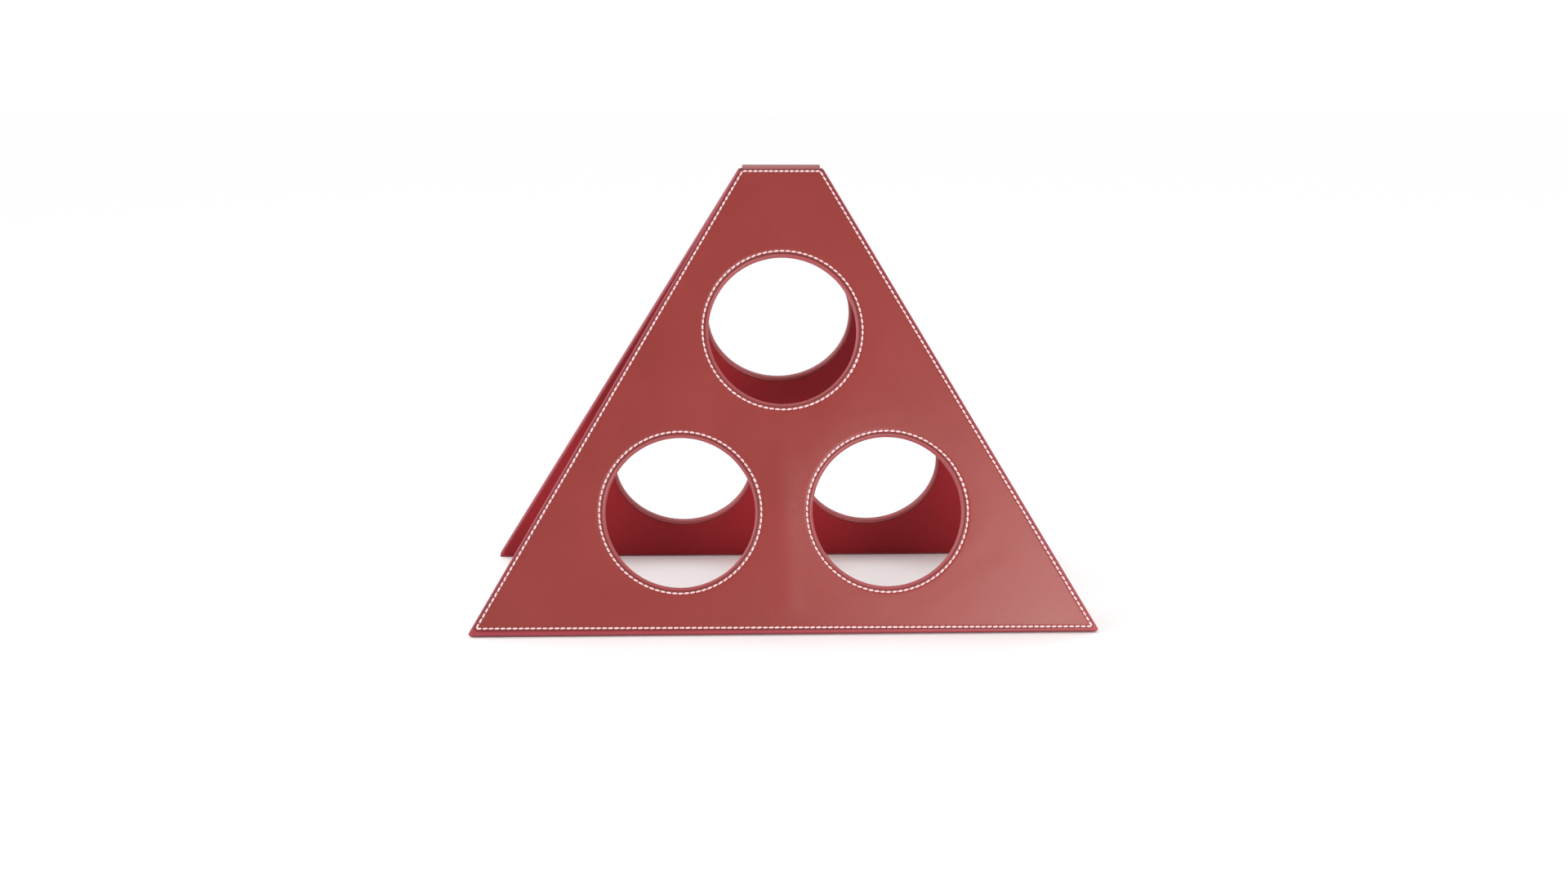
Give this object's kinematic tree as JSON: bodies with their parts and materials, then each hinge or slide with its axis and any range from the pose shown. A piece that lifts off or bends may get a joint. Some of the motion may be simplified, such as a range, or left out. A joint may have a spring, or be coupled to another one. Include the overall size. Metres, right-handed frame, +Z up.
{
  "type": "folding bottle rack",
  "caption": "Leather-covered A-frame rack: two triangular panels with round bottle holes, joined at the top by a leather strip and folding flat.",
  "frame": {"origin": "centre of the footprint, on the surface the rack stands on", "axes": "+X to the right along the panels' width, +Y from the front panel to the back panel, +Z up"},
  "size_m": [0.374, 0.1824, 0.2696],
  "materials": {
    "leather": "smooth satin",
    "binding": "smooth satin",
    "lining": "matte",
    "board": "raw board",
    "thread": "waxed thread"
  },
  "bodies": {
    "back_panel": {"back_board": "board", "back_cover": "leather", "back_lining": "lining", "back_foot_binding": "binding", "back_left_binding": "binding", "back_right_binding": "binding", "back_top_liner": "binding", "back_left_liner": "binding", "back_right_liner": "binding", "back_edge_seam": "thread", "back_top_seam": "thread", "back_left_seam": "thread", "back_right_seam": "thread", "hinge_strip": "leather"},
    "front_panel": {"front_board": "board", "front_cover": "leather", "front_lining": "lining", "front_foot_binding": "binding", "front_left_binding": "binding", "front_right_binding": "binding", "front_top_liner": "binding", "front_left_liner": "binding", "front_right_liner": "binding", "front_edge_seam": "thread", "front_top_seam": "thread", "front_left_seam": "thread", "front_right_seam": "thread"}
  },
  "joints": [
    {"name": "fold", "type": "hinge", "parent": "back_panel", "child": "front_panel", "pos_m": [0, 0, 0.26531], "axis": [1, 0, 0], "range_deg": [-144.5, 35.5], "deforming": ["hinge_strip"]}
  ]
}
